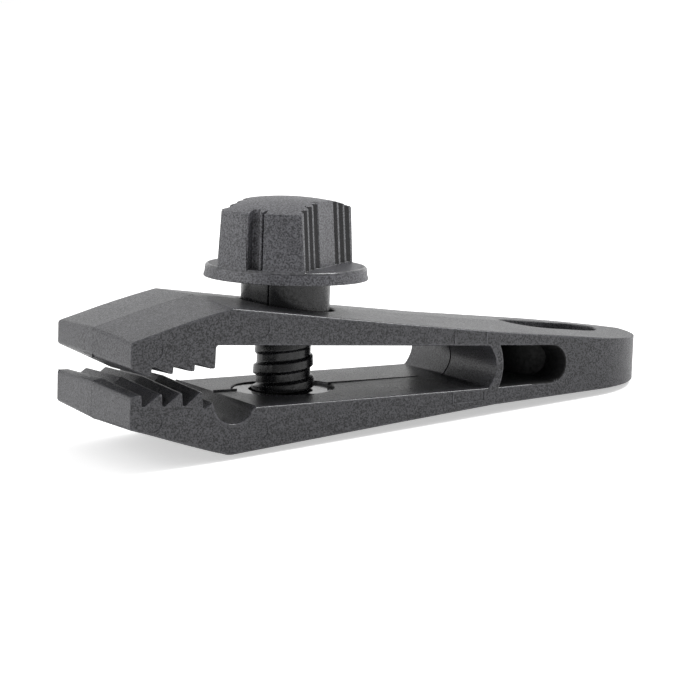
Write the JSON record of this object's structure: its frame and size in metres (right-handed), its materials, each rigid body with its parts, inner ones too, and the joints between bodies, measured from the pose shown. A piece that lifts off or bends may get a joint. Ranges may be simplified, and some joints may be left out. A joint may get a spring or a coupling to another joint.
{
  "type": "tarp clip",
  "caption": "Moulded plastic spring clamp with toothed jaws, a thumb screw through both arms, a half-round cord groove and an oval eyelet in its rounded tail.",
  "frame": {"origin": "middle of the eyelet, on the parting plane and on the middle line between the arms", "axes": "+X from the jaws to the tail, +Z along the eyelet and up out of the screw's head, Y across the clip"},
  "size_m": [0.1053, 0.029, 0.0408],
  "materials": {
    "moulded_body": "spark-eroded mould texture",
    "moulded_nut": "smooth moulded",
    "moulded_screw": "spark-eroded head, smooth thread"
  },
  "bodies": {
    "tail": {"tail": "moulded_body"},
    "upper_arm": {"upper_arm": "moulded_body"},
    "lower_arm": {"lower_arm": "moulded_body", "captive_nut": "moulded_nut"},
    "thumb_screw": {"thumb_screw": "moulded_screw"}
  },
  "joints": [
    {"name": "upper_arm_flex", "type": "hinge", "parent": "tail", "child": "upper_arm", "pos_m": [-0.0206, 0, 0], "axis": [0, -1, 0], "range_deg": [0, 0.9]},
    {"name": "lower_arm_flex", "type": "hinge", "parent": "tail", "child": "lower_arm", "pos_m": [-0.0206, 0, 0], "axis": [0, 1, 0], "range_deg": [0, 0.9]},
    {"name": "screw_turn", "type": "hinge", "parent": "upper_arm", "child": "thumb_screw", "pos_m": [-0.0542, 0, 0.0075], "axis": [0, 0, -1], "range_deg": [0, 106]}
  ],
  "couplings": [
    {"joint": "upper_arm_flex", "follows": "screw_turn", "ratio": 0.00843},
    {"joint": "lower_arm_flex", "follows": "screw_turn", "ratio": 0.00843}
  ]
}
